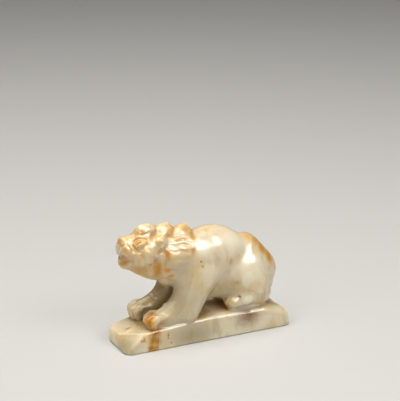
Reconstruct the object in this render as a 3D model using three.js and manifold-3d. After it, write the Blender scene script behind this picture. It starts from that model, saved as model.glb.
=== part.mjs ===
// A crouching lion carved in pale jade together with its low plinth, all one stone.
// Millimetres, +Z up. The lion looks along -X and the flat underside lies on Z = 0.
import * as THREE from 'three';
import { mergeVertices } from 'three/addons/utils/BufferGeometryUtils.js';
import Module from 'manifold-3d';

// Driving dimensions
const PLINTH_LENGTH = 72;
const PLINTH_WIDTH = 19.5;
const PLINTH_HEIGHT = 10.2;
const PLINTH_FRONT_HEIGHT = 5.6;
const PLINTH_REAR_HEIGHT = 6.6;
const PLINTH_CORNER_RADIUS = 3;
const BACK_HEIGHT = 44.2;
const BODY_HALF_WIDTH = 9.5;
const LEG_OFFSET = 5.4;
const PAW_OFFSET = 5.7;
const NECK_HEIGHT = 35.5;
const TRIM_DEPTH = 0.2;

// How finely the surface is sampled and how many triangles are kept
const GRID_STEP = 0.7;
const TRIANGLE_TARGET = 9600;

// Distance fields: a shape is a function of a point, negative inside the stone.
const softMin = (a, b, blend) => {
  const h = Math.max(blend - Math.abs(a - b), 0) / blend;
  return Math.min(a, b) - h * h * blend * 0.25;
};
const softMax = (a, b, blend) => -softMin(-a, -b, blend);

// An ellipsoid, turned nose-up about Y by an angle in degrees
function ball([cx, cy, cz], [rx, ry, rz], pitch = 0) {
  const c = Math.cos(THREE.MathUtils.degToRad(pitch));
  const s = Math.sin(THREE.MathUtils.degToRad(pitch));
  return (x, y, z) => {
    const dx = x - cx;
    const dz = z - cz;
    const u = (c * dx - s * dz) / rx;
    const v = (y - cy) / ry;
    const w = (s * dx + c * dz) / rz;
    const k0 = Math.sqrt(u * u + v * v + w * w);
    const k1 = Math.sqrt((u * u) / (rx * rx) + (v * v) / (ry * ry) + (w * w) / (rz * rz));
    return k1 < 1e-9 ? -Math.min(rx, ry, rz) : (k0 * (k0 - 1)) / k1;
  };
}

// A limb through stations [x, y, z, radius]
function limb(stations) {
  return (x, y, z) => {
    let nearest = Infinity;
    for (let i = 1; i < stations.length; i++) {
      const [ax, ay, az, ar] = stations[i - 1];
      const [bx, by, bz, br] = stations[i];
      const ex = bx - ax;
      const ey = by - ay;
      const ez = bz - az;
      const along = ((x - ax) * ex + (y - ay) * ey + (z - az) * ez) / (ex * ex + ey * ey + ez * ez);
      const t = Math.min(Math.max(along, 0), 1);
      const px = x - ax - t * ex;
      const py = y - ay - t * ey;
      const pz = z - az - t * ez;
      nearest = Math.min(nearest, Math.sqrt(px * px + py * py + pz * pz) - ar - t * (br - ar));
    }
    return nearest;
  };
}

// The same shape on both sides of the lion
const paired = (shape) => (x, y, z) => shape(x, Math.sqrt(y * y + 0.04), z);

// A lump of stone that other lumps are blended onto and grooves are cut from
function clay(start) {
  const steps = [];
  const field = (x, y, z) => {
    let d = start(x, y, z);
    for (const { shape, blend, cut } of steps) {
      d = cut ? softMax(d, -shape(x, y, z), blend) : softMin(d, shape(x, y, z), blend);
    }
    return d;
  };
  field.add = (shape, blend = 1) => {
    steps.push({ shape, blend, cut: false });
    return field;
  };
  field.cut = (shape, blend = 0.6) => {
    steps.push({ shape, blend, cut: true });
    return field;
  };
  return field;
}

// Plinth: a rounded slab whose top falls away to the front and the rear,
// with one corner of the front dressed off at a slant
function plinth() {
  const slab = (x, y, z) => {
    const qx = Math.abs(x) - PLINTH_LENGTH / 2 + PLINTH_CORNER_RADIUS;
    const qy = Math.abs(y) - PLINTH_WIDTH / 2 + PLINTH_CORNER_RADIUS;
    const outside = Math.hypot(Math.max(qx, 0), Math.max(qy, 0));
    return outside + Math.min(Math.max(qx, qy), 0) - PLINTH_CORNER_RADIUS;
  };
  const plane = (normal, point) => {
    const n = new THREE.Vector3(...normal).normalize();
    const offset = n.dot(new THREE.Vector3(...point));
    return (x, y, z) => n.x * x + n.y * y + n.z * z - offset;
  };
  const tops = [
    plane([-0.06, 0, 1], [-20, 0, 8.6]),
    plane([-0.27, 0, 1], [-PLINTH_LENGTH / 2, 0, PLINTH_FRONT_HEIGHT]),
    plane([0.36, 0, 1], [PLINTH_LENGTH / 2, 0, PLINTH_REAR_HEIGHT]),
    plane([-0.6, -0.3, 0.74], [-35.5, 1.85, 4.7]),
  ];
  return (x, y, z) => {
    let top = z - PLINTH_HEIGHT;
    for (const t of tops) top = softMax(top, t(x, y, z), 1.5);
    return softMax(softMax(slab(x, y, z), top, 3), -z - TRIM_DEPTH, 1);
  };
}

// Trunk: rib cage, haunches, shoulders, chest, neck and belly
function trunk() {
  const t = clay(ball([3.8, 0, 31], [15.6, BODY_HALF_WIDTH, BACK_HEIGHT - 31]));
  t.add(ball([17.2, 0, 21.4], [12.6, 9.2, 12.0]), 4);
  t.add(paired(ball([18.8, 4.6, 22.4], [9.2, 5.1, 10.2])), 2);
  t.add(paired(ball([-3, 4.3, 29.5], [8.5, 5.4, 12])), 2.5);
  t.add(ball([-13.0, 0, 29.8], [7.3, 7.2, 7.6]), 3);
  t.add(ball([-12, 0, 35.0], [11.0, 8.7, 8.7]), 2);
  t.add(ball([3.0, 0.5, 20.2], [9, 6, 5.7]), 3);
  return t;
}

// Neck and skull as smooth masses, on which the mane lies
function neck() {
  const n = clay(trunk());
  n.add(ball([-23.6, 0, 38.5], [8.2, 7.4, 7.2]), 2);
  n.add(ball([-24.6, 0, 33.0], [8.8, 5.8, 4.8], 28), 2);
  n.add(ball([-20.0, 0, 31.6], [5.6, 6.4, 5.4]), 2);
  return n;
}

// Face: muzzle with nose and lips, a deep jaw, heavy cheeks, bulging eyes and ears
function face() {
  const f = clay(ball([-28.6, 0, 39.6], [5.6, 4.6, 5.0], 6));
  f.add(ball([-29.6, 0, 43.0], [4.0, 2.7, 2.3]), 1);
  f.add(ball([-32.5, 0, 43.0], [2.2, 2.7, 1.9]), 0.6);
  f.add(paired(ball([-31.8, 2.2, 40.2], [2.8, 2.6, 2.5])), 0.6);
  f.add(ball([-31.2, 0, 35.0], [3.4, 3.4, 3.0], 24), 0.8);
  f.add(paired(ball([-27.4, 3.4, 37.4], [3.6, 3.4, 4.2])), 1.5);
  f.add(paired(ball([-26.4, 4.1, 42.3], [2.9, 2.3, 2.3], -6)), 0.3);
  f.cut(paired(limb([[-35.4, 0, 37.6, 0.6], [-32.4, 3.8, 37.5, 0.6], [-29.2, 5.4, 38.0, 0.4]])), 0.6);
  return f;
}

function ears() {
  const e = clay(paired(ball([-20.4, 5.8, 42.0], [2.9, 2.0, 2.8], 20)));
  e.cut(paired(ball([-20.9, 8.0, 41.8], [1.4, 1.1, 1.5], 20)), 0.5);
  return e;
}

// The point of a surface met by a ray across the neck, at an angle from straight up,
// drawn back towards the middle by a depth
function onSurface(field, x, degrees, depth) {
  const a = THREE.MathUtils.degToRad(degrees);
  let inside = 0;
  let outside = 30;
  for (let i = 0; i < 24; i++) {
    const r = (inside + outside) / 2;
    if (field(x, r * Math.sin(a), NECK_HEIGHT + r * Math.cos(a)) < 0) inside = r;
    else outside = r;
  }
  return [x, (inside - depth) * Math.sin(a), NECK_HEIGHT + (inside - depth) * Math.cos(a)];
}

// One lock laid on the neck between two places [x, angle], proudest at its rear tip
function lock(base, [x0, angle0], [x1, angle1], size) {
  const stations = [];
  for (let s = 0; s < 4; s++) {
    const t = s / 3;
    const radius = size * (0.75 + 0.25 * t);
    const point = onSurface(base, x0 + t * (x1 - x0), angle0 + t * (angle1 - angle0), (0.66 - 0.3 * t) * radius);
    stations.push([...point, radius]);
  }
  return limb(stations);
}

// Mane: curls on the cheek, locks hanging behind the ear, and a collar of long locks
// swept back over the shoulder, shorter towards the throat
function mane(base) {
  const locks = [];
  for (const [x, angle, size] of [[-25.0, 60, 1.9], [-24.4, 83, 2.1], [-24.2, 106, 2.1], [-23.2, 129, 1.9]]) {
    locks.push(lock(base, [x - 0.6, angle - 4], [x + 0.6, angle + 4], size));
  }
  for (const x of [-21.6, -19.4]) locks.push(lock(base, [x - 0.3, 76], [x + 0.6, 128], 1.5));
  const collar = 7;
  for (let i = 0; i < collar; i++) {
    const share = i / (collar - 1);
    const start = 26 + share * 104;
    const tip = -5.2 - 2.2 * share - 4.6 * share * share;
    locks.push(lock(base, [-17.2, start], [tip, start + 4 + 6 * share], 2.0));
  }
  for (const [x, angle] of [[-17.2, 138], [-14.4, 142]]) {
    locks.push(lock(base, [x - 0.5, angle - 3], [x + 0.7, angle + 3], 1.4));
  }
  return (x, y, z) => {
    let d = locks[0](x, y, z);
    for (const l of locks.slice(1)) d = softMin(d, l(x, y, z), 0.2);
    return d;
  };
}

// Crest: the crown curl and two locks behind it that rise to a steep rear edge
function crest() {
  const c = clay(ball([-23.2, 0, 45.4], [4.3, 4.5, 3.2]));
  c.add(ball([-15.9, 0, 44.4], [4.2, 4.8, 3.1]), 0.4);
  c.add(ball([-14.0, 0, 46.1], [1.7, 3.0, 1.7]), 1);
  c.add(ball([-8.0, 0, 42.2], [4.6, 5.0, 3.2]), 0.4);
  c.add(ball([-6.0, 0, 44.0], [1.8, 3.0, 1.7]), 1);
  return c;
}

// Tail: a broad tuft laid up the middle of the rump, with two smaller lumps below it
function tail() {
  const shaft = limb([
    [29.4, 0, 20.6, 2.6], [29.9, 0, 22.2, 2.8], [29.1, 0, 25.2, 2.8],
    [27.0, 0, 28.6, 2.7], [24.8, 0, 31.2, 2.5], [22.3, 0, 34.0, 2.3], [20.6, 0, 36.7, 1.6]]);
  const tuft = clay((x, y, z) => shaft(x, y * 0.46, z) * 0.9);
  tuft.add(ball([28.0, 0, 17.0], [3.0, 5.2, 2.4]), 0.3);
  tuft.add(ball([27.6, 0, 13.3], [2.9, 5.0, 2.4]), 0.3);
  return tuft;
}

// Foreleg: a deep upright column and a long low paw with four toes.
// The knee and the paw can be set forward and the paw made taller.
function foreleg(knee, reach, lift) {
  const y = LEG_OFFSET;
  const leg = clay(limb([[-6, 4.6, 28, 5.4], [-9.4 - knee, y, 20.5, 4.6], [-9.8 - knee, y, 13.6, 4.4]]));
  leg.add(limb([[0, 4.6, 27, 5.4], [-4.3 - knee / 2, y, 18.6, 4.5], [-7.6, y, 12.4, 4.2]]), 3);
  leg.add(limb([
    [-10, y, 13.0, 4.4], [-16 - reach, PAW_OFFSET, 11.4 + lift, 3.5 + lift / 2],
    [-21 - reach, PAW_OFFSET, 11.0 + lift, 3.2 + lift / 2]]), 3);
  leg.add(ball([-16.6 - reach, y, 15.0 + lift], [1.9, 1.6, 1.5], -35), 0.6);
  for (const across of [-2.9, -1.0, 1.0, 2.9]) {
    const side = PAW_OFFSET + across;
    const tip = 25.2 - 0.25 * Math.abs(across);
    leg.add(limb([
      [-19 - reach, side, 12.6 + lift, 1.1], [-23.6 - reach, side, 12.3 + lift, 1.5],
      [-tip - reach, side, 10.5 + lift / 2, 1.5]]), 0.35);
  }
  return leg;
}

// Hind leg: the folded shank with the heel behind and the foot in front
function hindleg() {
  const f = clay(limb([[25, 5.4, 13.0, 3.3], [19, 5.8, 12.4, 3.4]]));
  f.add(ball([17.2, 5.8, 14.2], [4.1, 3.8, 3.8]), 0.3);
  f.add(ball([11.2, 6.0, 12.5], [3.4, 3.3, 3.0]), 0.3);
  f.add(ball([25.6, 4.6, 13.0], [2.6, 3.6, 3.0]), 0.4);
  return f;
}

function lion() {
  const bust = neck();
  const body = clay(bust);
  body.add(face(), 1);
  body.add(paired(mane(bust)), 0.4);
  body.add(ears(), 0.3);
  body.add(crest(), 0.6);
  body.add(tail(), 0.8);
  const near = foreleg(0, 0, 0);
  const far = foreleg(2.2, 1.0, 0.9);
  body.add((x, y, z) => (y < 0 ? near(x, -y, z) : far(x, y, z)), 1.4);
  body.add(ball([-3, 0, 18], [5, 5, 10]), 1);
  body.add(paired(hindleg()), 0.8);
  return body;
}

// The surface of a field sampled on a grid: one point in every cell the surface
// crosses, joined four by four around each crossed grid edge
function polygonise(field, box, step) {
  const size = box.getSize(new THREE.Vector3());
  const nx = Math.ceil(size.x / step) + 1;
  const ny = Math.ceil(size.y / step) + 1;
  const nz = Math.ceil(size.z / step) + 1;
  const at = (i, j, k) => i + nx * (j + ny * k);
  const sample = (i, j, k) => field(box.min.x + i * step, box.min.y + j * step, box.min.z + k * step);
  const value = new Float32Array(nx * ny * nz);
  const block = 5;
  const middle = (block - 1) / 2;
  const reach = block * step * 1.5;
  for (let k = 0; k < nz; k += block) {
    for (let j = 0; j < ny; j += block) {
      for (let i = 0; i < nx; i += block) {
        const d = sample(i + middle, j + middle, k + middle);
        for (let c = k; c < Math.min(k + block, nz); c++) {
          for (let b = j; b < Math.min(j + block, ny); b++) {
            for (let a = i; a < Math.min(i + block, nx); a++) {
              value[at(a, b, c)] = Math.abs(d) > reach ? d : sample(a, b, c);
            }
          }
        }
      }
    }
  }
  // Cell corners are numbered by bits for x, y and z; an edge runs from a corner along one bit
  const bits = [1, 2, 4];
  const offset = (corner) => [corner & 1, (corner >> 1) & 1, (corner >> 2) & 1];
  const edges = [];
  const edgeAt = new Map();
  for (const bit of bits) {
    for (let corner = 0; corner < 8; corner++) {
      if (corner & bit) continue;
      edgeAt.set(corner * 8 + bit, edges.length);
      edges.push([corner, corner | bit]);
    }
  }
  const sides = [];
  for (const bit of bits) {
    for (const level of [0, bit]) {
      sides.push(edges.map((_, e) => e).filter((e) => edges[e].every((corner) => (corner & bit) === level)));
    }
  }
  const points = [];
  const vertexAt = new Int32Array(nx * ny * nz * edges.length).fill(-1);
  for (let k = 0; k < nz - 1; k++) {
    for (let j = 0; j < ny - 1; j++) {
      for (let i = 0; i < nx - 1; i++) {
        const corner = [];
        for (let n = 0; n < 8; n++) {
          const [a, b, c] = offset(n);
          corner.push(value[at(i + a, j + b, k + c)]);
        }
        const crossed = edges.map(([p, q]) => corner[p] < 0 !== corner[q] < 0);
        if (!crossed.includes(true)) continue;
        // Crossings that belong to the same patch of surface share one point
        const patch = edges.map((_, e) => e);
        const join = (e, f) => {
          const from = patch[e];
          const to = patch[f];
          for (let n = 0; n < patch.length; n++) if (patch[n] === from) patch[n] = to;
        };
        for (const side of sides) {
          const cuts = side.filter((e) => crossed[e]);
          if (cuts.length === 2) join(cuts[0], cuts[1]);
          if (cuts.length === 4) {
            for (let n = 0; n < 8; n++) {
              const own = cuts.filter((e) => corner[n] < 0 && edges[e].includes(n));
              if (own.length === 2) join(own[0], own[1]);
            }
          }
        }
        for (const name of new Set(patch.filter((_, e) => crossed[e]))) {
          const sum = [0, 0, 0];
          let count = 0;
          for (let e = 0; e < edges.length; e++) {
            if (!crossed[e] || patch[e] !== name) continue;
            const [p, q] = edges[e];
            const t = corner[p] / (corner[p] - corner[q]);
            const from = offset(p);
            const to = offset(q);
            for (let n = 0; n < 3; n++) sum[n] += from[n] + t * (to[n] - from[n]);
            count++;
            vertexAt[at(i, j, k) * edges.length + e] = points.length / 3;
          }
          points.push(
            box.min.x + (i + sum[0] / count) * step,
            box.min.y + (j + sum[1] / count) * step,
            box.min.z + (k + sum[2] / count) * step);
        }
      }
    }
  }
  // Each crossed grid edge joins the points of the four cells around it
  const faces = [];
  const ring = [[1, 1], [0, 1], [0, 0], [1, 0]];
  for (let k = 1; k < nz - 1; k++) {
    for (let j = 1; j < ny - 1; j++) {
      for (let i = 1; i < nx - 1; i++) {
        const solid = value[at(i, j, k)] < 0;
        for (let axis = 0; axis < 3; axis++) {
          const along = bits[axis];
          const [a, b, c] = offset(along);
          if (solid === value[at(i + a, j + b, k + c)] < 0) continue;
          const u = bits[(axis + 1) % 3];
          const v = bits[(axis + 2) % 3];
          const quad = ring.map(([backU, backV]) => {
            const low = u * backU + v * backV;
            const [di, dj, dk] = offset(low);
            return vertexAt[at(i - di, j - dj, k - dk) * edges.length + edgeAt.get(low * 8 + along)];
          });
          if (!solid) quad.reverse();
          faces.push(quad[0], quad[1], quad[2], quad[0], quad[2], quad[3]);
        }
      }
    }
  }
  return { points, faces };
}

// Moves every point along the slope of the field until it lies on the surface
function settle(points, field, limit) {
  const h = 0.02;
  for (let i = 0; i < points.length; i += 3) {
    for (let pass = 0; pass < 3; pass++) {
      const [x, y, z] = [points[i], points[i + 1], points[i + 2]];
      const d = field(x, y, z);
      const gx = (field(x + h, y, z) - field(x - h, y, z)) / (2 * h);
      const gy = (field(x, y + h, z) - field(x, y - h, z)) / (2 * h);
      const gz = (field(x, y, z + h) - field(x, y, z - h)) / (2 * h);
      const slope = Math.max(gx * gx + gy * gy + gz * gz, 0.05);
      const move = THREE.MathUtils.clamp(d / slope, -limit, limit);
      points[i] -= gx * move;
      points[i + 1] -= gy * move;
      points[i + 2] -= gz * move;
    }
  }
}

// Merges the edges that matter least to the form until the triangle target is met
function thin(points, faces, target) {
  const spot = [];
  for (let i = 0; i < points.length; i += 3) spot.push(new THREE.Vector3(points[i], points[i + 1], points[i + 2]));
  const triangle = [];
  for (let i = 0; i < faces.length; i += 3) triangle.push([faces[i], faces[i + 1], faces[i + 2]]);
  const around = spot.map(() => new Set());
  triangle.forEach((t, f) => t.forEach((v) => around[v].add(f)));
  const normalOf = (a, b, c) => new THREE.Vector3().subVectors(b, a).cross(new THREE.Vector3().subVectors(c, a));

  // The squared distance to the planes around a point, as the ten terms of a quadric
  const quadric = spot.map(() => new Float64Array(10));
  for (const t of triangle) {
    const n = normalOf(spot[t[0]], spot[t[1]], spot[t[2]]);
    const area = n.length();
    if (area === 0) continue;
    n.divideScalar(area);
    const d = -n.dot(spot[t[0]]);
    const terms = [n.x * n.x, n.x * n.y, n.x * n.z, n.x * d, n.y * n.y, n.y * n.z, n.y * d, n.z * n.z, n.z * d, d * d];
    for (const v of t) terms.forEach((value, i) => { quadric[v][i] += area * value; });
  }
  const merged = (a, b) => {
    const q = new Float64Array(10);
    for (let i = 0; i < 10; i++) q[i] = quadric[a][i] + quadric[b][i];
    const middle = spot[a].clone().add(spot[b]).multiplyScalar(0.5);
    const hold = 2e-3 * (q[0] + q[4] + q[7]) + 1e-9;
    const m = new THREE.Matrix3().set(
      q[0] + hold, q[1], q[2], q[1], q[4] + hold, q[5], q[2], q[5], q[7] + hold).invert();
    const best = new THREE.Vector3(
      hold * middle.x - q[3], hold * middle.y - q[6], hold * middle.z - q[8]).applyMatrix3(m);
    const { x, y, z } = best;
    const error = q[0] * x * x + q[4] * y * y + q[7] * z * z + q[9]
      + 2 * (q[1] * x * y + q[2] * x * z + q[5] * y * z + q[3] * x + q[6] * y + q[8] * z);
    return { q, best, cost: error + 2e-4 * spot[a].distanceToSquared(spot[b]) };
  };

  // A queue of edges, cheapest first; an entry is stale once either end has moved
  const heap = [];
  const age = new Uint32Array(spot.length);
  const push = (entry) => {
    heap.push(entry);
    let i = heap.length - 1;
    while (i > 0) {
      const up = (i - 1) >> 1;
      if (heap[up].cost <= heap[i].cost) break;
      [heap[up], heap[i]] = [heap[i], heap[up]];
      i = up;
    }
  };
  const pop = () => {
    const first = heap[0];
    const last = heap.pop();
    if (heap.length > 0) {
      heap[0] = last;
      let i = 0;
      for (;;) {
        let low = i;
        for (const next of [2 * i + 1, 2 * i + 2]) {
          if (next < heap.length && heap[next].cost < heap[low].cost) low = next;
        }
        if (low === i) break;
        [heap[low], heap[i]] = [heap[i], heap[low]];
        i = low;
      }
    }
    return first;
  };
  const queue = (a, b) => push({ cost: merged(a, b).cost, a, b, ageA: age[a], ageB: age[b] });
  for (const t of triangle) {
    for (let i = 0; i < 3; i++) if (t[i] < t[(i + 1) % 3]) queue(t[i], t[(i + 1) % 3]);
  }
  const neighbours = (v) => {
    const found = new Set();
    for (const f of around[v]) for (const w of triangle[f]) if (w !== v) found.add(w);
    return found;
  };
  const turnsOver = (v, other, best) => {
    for (const f of around[v]) {
      const t = triangle[f];
      if (t.includes(other)) continue;
      const before = normalOf(...t.map((w) => spot[w]));
      const after = normalOf(...t.map((w) => (w === v ? best : spot[w])));
      if (before.dot(after) < 0.3 * before.length() * after.length() || after.length() < 1e-3) return true;
    }
    return false;
  };
  let left = triangle.length;
  while (left > target && heap.length > 0) {
    const { a, b, ageA, ageB } = pop();
    if (age[a] !== ageA || age[b] !== ageB) continue;
    const beside = neighbours(b);
    const shared = [...neighbours(a)].filter((v) => beside.has(v));
    if (shared.length !== 2) continue;
    const { q, best } = merged(a, b);
    if (turnsOver(a, b, best) || turnsOver(b, a, best)) continue;
    for (const f of [...around[b]]) {
      const t = triangle[f];
      if (t.includes(a)) {
        for (const v of t) around[v].delete(f);
        triangle[f] = null;
        left--;
      } else {
        t[t.indexOf(b)] = a;
        around[a].add(f);
      }
    }
    around[b].clear();
    spot[a].copy(best);
    quadric[a] = q;
    age[a]++;
    age[b]++;
    for (const v of neighbours(a)) queue(a, v);
  }
  const kept = new Map();
  const outPoints = [];
  const outFaces = [];
  for (const t of triangle) {
    if (t === null) continue;
    for (const v of t) {
      if (!kept.has(v)) {
        kept.set(v, outPoints.length / 3);
        outPoints.push(...spot[v].toArray());
      }
      outFaces.push(kept.get(v));
    }
  }
  return { points: outPoints, faces: outFaces };
}

const stone = clay(lion());
stone.add(plinth(), 0.8);
const bounds = new THREE.Box3(new THREE.Vector3(-40, -13, -2), new THREE.Vector3(39, 13, 53));
const fine = polygonise(stone, bounds, GRID_STEP);
settle(fine.points, stone, GRID_STEP / 2);
const coarse = thin(fine.points, fine.faces, TRIANGLE_TARGET);

// The underside is ground flat on Z = 0
const wasm = await Module();
wasm.setup();
const solidOf = (points, faces) => new wasm.Manifold(new wasm.Mesh({
  numProp: 3, vertProperties: new Float32Array(points), triVerts: new Uint32Array(faces),
}));
const below = new THREE.BoxGeometry(100, 40, 10).translate(0, 0, -5);
below.deleteAttribute('normal');
below.deleteAttribute('uv');
const block = mergeVertices(below);
const ground = solidOf(block.attributes.position.array, block.index.array);
const trimmed = solidOf(coarse.points, coarse.faces).subtract(ground).getMesh();
const geometry = new THREE.BufferGeometry();
geometry.setAttribute('position', new THREE.Float32BufferAttribute(trimmed.vertProperties, 3));
geometry.setIndex(new THREE.Uint32BufferAttribute(trimmed.triVerts, 1));
geometry.computeVertexNormals();

const jade = new THREE.MeshStandardMaterial({ color: 0xd9cdb0, roughness: 0.3, metalness: 0 });
const mesh = new THREE.Mesh(geometry, jade);
mesh.name = 'jade_lion';
const group = new THREE.Group();
group.add(mesh);
export default group;
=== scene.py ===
# %% [markdown]
# A jade lion, carved with its plinth from one pebble and polished until it looks like wax.
# Every piece of the scene is fitted to a frame, the engineer's model of the same stone, so the first
# thing to do is to load that frame and to note how large it is.

# %% Load the frame
import math
import bmesh
import bpy
import numpy as np
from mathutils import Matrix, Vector


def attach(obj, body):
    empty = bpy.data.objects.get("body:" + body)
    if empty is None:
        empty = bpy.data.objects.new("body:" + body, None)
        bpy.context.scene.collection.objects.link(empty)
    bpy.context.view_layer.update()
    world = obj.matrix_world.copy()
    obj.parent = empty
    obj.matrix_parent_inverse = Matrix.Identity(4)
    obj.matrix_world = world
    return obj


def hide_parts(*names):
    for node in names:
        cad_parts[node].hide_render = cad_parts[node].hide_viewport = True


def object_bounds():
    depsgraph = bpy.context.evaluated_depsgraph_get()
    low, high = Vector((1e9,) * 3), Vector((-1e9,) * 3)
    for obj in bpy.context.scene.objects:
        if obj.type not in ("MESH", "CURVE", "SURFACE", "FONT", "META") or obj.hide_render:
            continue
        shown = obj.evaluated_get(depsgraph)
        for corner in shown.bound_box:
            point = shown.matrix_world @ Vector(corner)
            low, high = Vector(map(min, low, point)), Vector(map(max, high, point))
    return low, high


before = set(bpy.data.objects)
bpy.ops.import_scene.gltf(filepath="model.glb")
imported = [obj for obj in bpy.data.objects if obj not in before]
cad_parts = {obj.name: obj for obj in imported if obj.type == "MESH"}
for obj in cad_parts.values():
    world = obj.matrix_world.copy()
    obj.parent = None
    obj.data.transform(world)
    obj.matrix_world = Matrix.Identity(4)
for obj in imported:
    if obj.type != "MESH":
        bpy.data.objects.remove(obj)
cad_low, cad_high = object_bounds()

MM = 0.001
size = [(high - low) / MM for low, high in zip(cad_low, cad_high)]
print("the stone measures", [round(side, 1) for side in size], "mm")

# %% [markdown]
# The camera is set before the carving, because it decides how much detail is worth making. A small
# carving is photographed from about arm's length with a long lens: near lines and far lines then
# keep almost the same scale. The camera looks from the lion's left, a little in front of it, and
# from above. It is turned up slightly, so that the stone stands low in the picture.

# %% Camera
AZIMUTH = math.radians(-26)
ELEVATION = math.radians(23)
DISTANCE = 600 * MM
TILT_UP = math.radians(4.99)
FOCAL_LENGTH = 135.2
SENSOR_WIDTH = 36

to_camera = Vector((
    math.cos(ELEVATION) * math.sin(AZIMUTH),
    -math.cos(ELEVATION) * math.cos(AZIMUTH),
    math.sin(ELEVATION)))
camera_data = bpy.data.cameras.new("camera")
camera_data.lens = FOCAL_LENGTH
camera_data.sensor_fit = "HORIZONTAL"
camera_data.sensor_width = SENSOR_WIDTH
camera_data.clip_start = 10 * MM
camera = bpy.data.objects.new("camera", camera_data)
camera.location = to_camera * DISTANCE
camera.rotation_euler = (math.pi / 2 - ELEVATION + TILT_UP, 0, AZIMUTH)
bpy.context.collection.objects.link(camera)
bpy.context.scene.camera = camera
print("the camera stands at", [round(c, 3) for c in camera.location])

# %% [markdown]
# A carver finds the form by cutting lumps out of lumps. Sculpting by hand in Blender would work too,
# but it can't be written down. Here each lump is a distance field instead: a function that says how
# far a point lies outside the stone, and gives a negative number inside. Lumps then join or cut with
# a soft edge, as worn stone has, and the mesh is moved onto the result at the end. Each shape knows
# the box that it fills. A point further than REACH from that box gets the answer FAR at once, so that
# far-off points cost no time. All lengths in these cells are millimetres.

# %% Soft joins and cuts
FAR = 6.0
REACH = 4.5
TINY = 1e-9


def soft_min(a, b, blend):
    """The smaller of two distances, with a fillet where they are nearly equal."""
    near = np.maximum(blend - np.abs(a - b), 0) / blend
    return np.minimum(a, b) - near * near * blend * 0.25


def soft_max(a, b, blend):
    """The larger of two distances, rounded off where they are nearly equal."""
    return -soft_min(-a, -b, blend)


class Shape:
    """A lump of stone: a distance field and the box that it fills."""

    def __init__(self, field, low, high):
        self.field = field
        self.low = np.array(low, float)
        self.high = np.array(high, float)
        self.steps = []

    def add(self, shape, blend):
        self.steps.append((shape, blend, False))
        self.low = np.minimum(self.low, shape.low)
        self.high = np.maximum(self.high, shape.high)
        return self

    def cut(self, shape, blend):
        self.steps.append((shape, blend, True))
        return self

    def __call__(self, points):
        result = np.full(len(points), FAR)
        near = np.all((points > self.low - REACH) & (points < self.high + REACH), axis=1)
        if near.any():
            close = points[near]
            distance = self.field(close)
            for shape, blend, cut in self.steps:
                if cut:
                    distance = soft_max(distance, -shape(close), blend)
                else:
                    distance = soft_min(distance, shape(close), blend)
            result[near] = distance
        return result


def clay(shape):
    """A new lump that starts as another one."""
    return Shape(shape, shape.low, shape.high)


print("where two skins meet, a blend of 2 mm fills in", -soft_min(0.0, 0.0, 2.0), "mm")

# %% [markdown]
# Two forms are enough for nearly all of the animal. A ball is an ellipsoid, which can be pitched
# nose-up. A limb is a chain of round cones, for legs, toes and locks of hair. The two halves of the
# lion are alike, so most shapes are made once, for the side where y is positive, and folded across
# the middle. The eyes and the forelegs do differ a little, so they get a shape for each side.

# %% Balls, limbs and pairs
FOLD_ROUNDING = 0.04


def ball(centre, radii, pitch=0.0):
    cx, cy, cz = centre
    rx, ry, rz = radii
    c = math.cos(math.radians(pitch))
    s = math.sin(math.radians(pitch))

    def field(points):
        dx = points[:, 0] - cx
        dz = points[:, 2] - cz
        u = (c * dx - s * dz) / rx
        v = (points[:, 1] - cy) / ry
        w = (s * dx + c * dz) / rz
        k0 = np.sqrt(u * u + v * v + w * w)
        k1 = np.sqrt((u / rx) ** 2 + (v / ry) ** 2 + (w / rz) ** 2) + TINY
        return k0 * (k0 - 1) / k1

    longest = max(rx, rz)
    reach = np.array([longest, ry, longest] if pitch else [rx, ry, rz])
    return Shape(field, np.array(centre) - reach, np.array(centre) + reach)


def limb(stations):
    """A chain through stations [x, y, z, radius]."""
    s = np.array(stations, float)

    def field(points):
        nearest = np.full(len(points), np.inf)
        for a, b in zip(s[:-1], s[1:]):
            along = b[:3] - a[:3]
            t = np.clip((points - a[:3]) @ along / (along @ along), 0, 1)
            gap = np.linalg.norm(points - a[:3] - t[:, None] * along, axis=1)
            nearest = np.minimum(nearest, gap - a[3] - t * (b[3] - a[3]))
        return nearest

    return Shape(field, (s[:, :3] - s[:, 3:]).min(0), (s[:, :3] + s[:, 3:]).max(0))


def folded(points):
    """Brings points of both sides to the side where y is positive, with no crease in the middle."""
    return np.column_stack([points[:, 0], np.sqrt(points[:, 1] ** 2 + FOLD_ROUNDING), points[:, 2]])


def paired(shape):
    """The same shape on both sides."""
    low = [shape.low[0], -shape.high[1], shape.low[2]]
    return Shape(lambda points: shape(folded(points)), low, shape.high)


def two_sided(near, far):
    """Different shapes on the two sides, both given for the side where y is positive."""
    def field(points):
        mirrored = near(points * [1, -1, 1])
        return np.where(points[:, 1] < 0, mirrored, far(points))

    low = np.minimum(near.low, far.low)
    high = np.maximum(near.high, far.high)
    return Shape(field, [low[0], -high[1], low[2]], high)


marble = ball([0, 0, 0], [2, 2, 2])
off = marble(np.array([[3.0, 0, 0]]))[0]
print("3 mm from its middle, a marble 4 mm wide is", round(off, 3), "mm away")

# %% [markdown]
# A carver marks a line on the finished skin and then cuts along it. Here a rough place is moved onto
# the skin along the field's slope, which four samples at the corners of a tiny tetrahedron give. A
# groove is then a thin limb that lies half out of the stone and is taken away. A welt is a thin limb
# that lies half in the stone and is added, and a curl gets a ring cut round its middle.

# %% Lines on the skin
PROBE = 0.02
CORNERS = np.array([[1, -1, -1], [-1, -1, 1], [-1, 1, -1], [1, 1, 1]]) * PROBE
LEAST_STEEPNESS = 0.05
SKIN_PASSES = 4
SKIN_STEP = 0.8
LINE_POINTS = 11
END_FADE = 0.7
RING_LIFT = 0.15


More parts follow.
